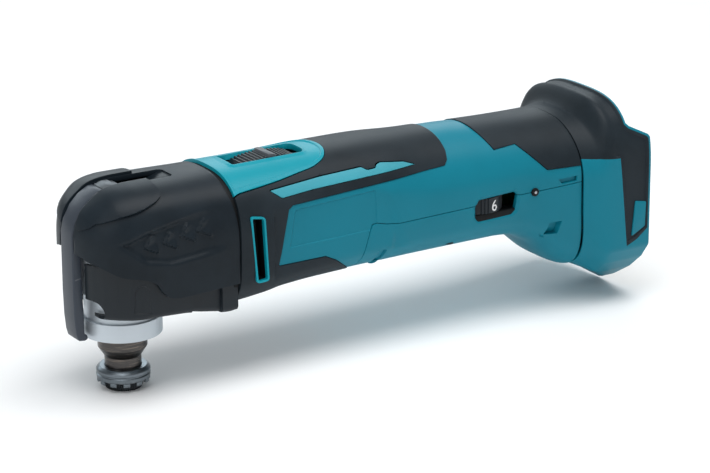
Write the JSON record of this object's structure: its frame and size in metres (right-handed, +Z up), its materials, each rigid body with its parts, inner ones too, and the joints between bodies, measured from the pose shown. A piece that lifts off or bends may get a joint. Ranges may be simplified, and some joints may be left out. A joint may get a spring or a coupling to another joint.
{
  "type": "cordless oscillating multi-tool",
  "caption": "Cordless oscillating multi-tool without its battery: angled gear head with a tool-less clamp lever, slide switch, speed dial and slide-on battery mount.",
  "frame": {"origin": "centre of the accessory seat: where the spindle axis meets the flange's lower face", "axes": "+X runs from the spindle to the battery end, +Z up along the spindle axis, away from the accessory, and -Y is the side with the speed dial's window"},
  "size_m": [0.2974, 0.078, 0.1024],
  "materials": {
    "cast_aluminium": "fine shot-blasted casting, machined collar",
    "black_plastic": "moulded, fine spark texture",
    "charcoal_rubber": "soft overmould with a satin grain",
    "clear_lens": "clear polished lens",
    "green_board": "solder-masked circuit board",
    "bearing_steel": "ground bright steel",
    "black_rubber": "matt",
    "motor_steel": "zinc-plated sheet",
    "ferrite": "sintered ferrite",
    "carbon": "pressed carbon",
    "teal_plastic": "glass-filled nylon, fine satin texture",
    "blue_plastic": "moulded",
    "yellow_plastic": "moulded",
    "terminal_brass": "plated blades",
    "black_steel": "black oxide",
    "spindle_steel": "turned and bronzed by heat treatment",
    "flange_steel": "sintered blue-grey steel",
    "lever_plastic": "moulded dark grey, lighter worn face",
    "copper_wire": "enamelled copper",
    "copper_bar": "bare copper segments",
    "ivory_plastic": "moulded"
  },
  "bodies": {
    "housing": {"gear_housing": "cast_aluminium", "neck_cover": "black_plastic", "head_cover": "charcoal_rubber", "led_lens": "clear_lens", "led_board": "green_board", "spindle_lower_bearing": "bearing_steel", "spindle_upper_bearing": "bearing_steel", "dust_seal": "black_rubber", "bearing_circlip": "bearing_steel", "lever_pin": "bearing_steel", "front_motor_bearing": "bearing_steel", "rear_motor_bearing": "bearing_steel", "front_band": "black_plastic", "fan_baffle": "black_plastic", "motor_can": "motor_steel", "motor_magnets": "ferrite", "brush_holder": "black_plastic", "carbon_brushes": "carbon", "brush_springs": "bearing_steel", "main_housing": "teal_plastic", "lower_housing": "teal_plastic", "front_grip": "charcoal_rubber", "rear_grip": "charcoal_rubber", "switch_plate": "teal_plastic", "switch_unit": "black_plastic", "dial_potentiometer": "blue_plastic", "control_board": "green_board", "seam_gasket": "black_rubber", "mount_housing": "teal_plastic", "mount_hood": "charcoal_rubber", "side_panels": "teal_plastic", "badge_plates": "teal_plastic", "rail_plate": "black_plastic", "terminal_block": "yellow_plastic", "battery_terminals": "terminal_brass", "head_screws": "bearing_steel", "housing_screws": "black_steel", "mount_screws": "bearing_steel"},
    "spindle": {"spindle": "spindle_steel", "tool_flange": "flange_steel", "rocker_fork": "spindle_steel", "clamp_collet": "bearing_steel"},
    "clamp_bolt": {"clamp_bolt": "black_steel"},
    "thrust_pin": {"thrust_pin": "bearing_steel", "clamp_spring": "bearing_steel"},
    "clamp_lever": {"clamp_lever": "lever_plastic", "lever_cam": "bearing_steel"},
    "rotor": {"rotor_shaft": "bearing_steel", "rotor_core": "motor_steel", "rotor_windings": "copper_wire", "commutator": "copper_bar", "cooling_fan": "ivory_plastic", "eccentric_sleeve": "spindle_steel", "eccentric_bearing": "bearing_steel", "counterweight": "spindle_steel"},
    "slide_switch": {"switch_knob": "black_plastic", "switch_rod": "ivory_plastic"},
    "speed_dial": {"speed_dial": "black_plastic"}
  },
  "joints": [
    {"name": "spindle_swing", "type": "hinge", "parent": "housing", "child": "spindle", "pos_m": [0, 0, 0], "axis": [0, 0, 1], "range_deg": [-1.6, 1.6]},
    {"name": "bolt_draw", "type": "slide", "parent": "spindle", "child": "clamp_bolt", "axis": [0, 0, -1], "range_m": [0, 0.05]},
    {"name": "lever_swing", "type": "hinge", "parent": "housing", "child": "clamp_lever", "pos_m": [0, 0, 0.083], "axis": [0, 1, 0], "range_deg": [0, 130]},
    {"name": "thrust_pin_slide", "type": "slide", "parent": "spindle", "child": "thrust_pin", "axis": [0, 0, -1], "range_m": [0, 0.0022], "deforming": ["clamp_spring"]},
    {"name": "rotor_spin", "type": "hinge", "parent": "housing", "child": "rotor", "pos_m": [0.1, 0, 0.0595], "axis": [1, 0, 0], "continuous": true},
    {"name": "switch_slide", "type": "slide", "parent": "housing", "child": "slide_switch", "axis": [-1, 0, 0], "range_m": [0, 0.005]},
    {"name": "dial_turn", "type": "hinge", "parent": "housing", "child": "speed_dial", "pos_m": [0.1817, -0.0162, 0.0555], "axis": [0, 0, 1], "range_deg": [0, 250]}
  ],
  "couplings": [
    {"joint": "thrust_pin_slide", "follows": "lever_swing", "m_per_rad": 0.000943}
  ]
}
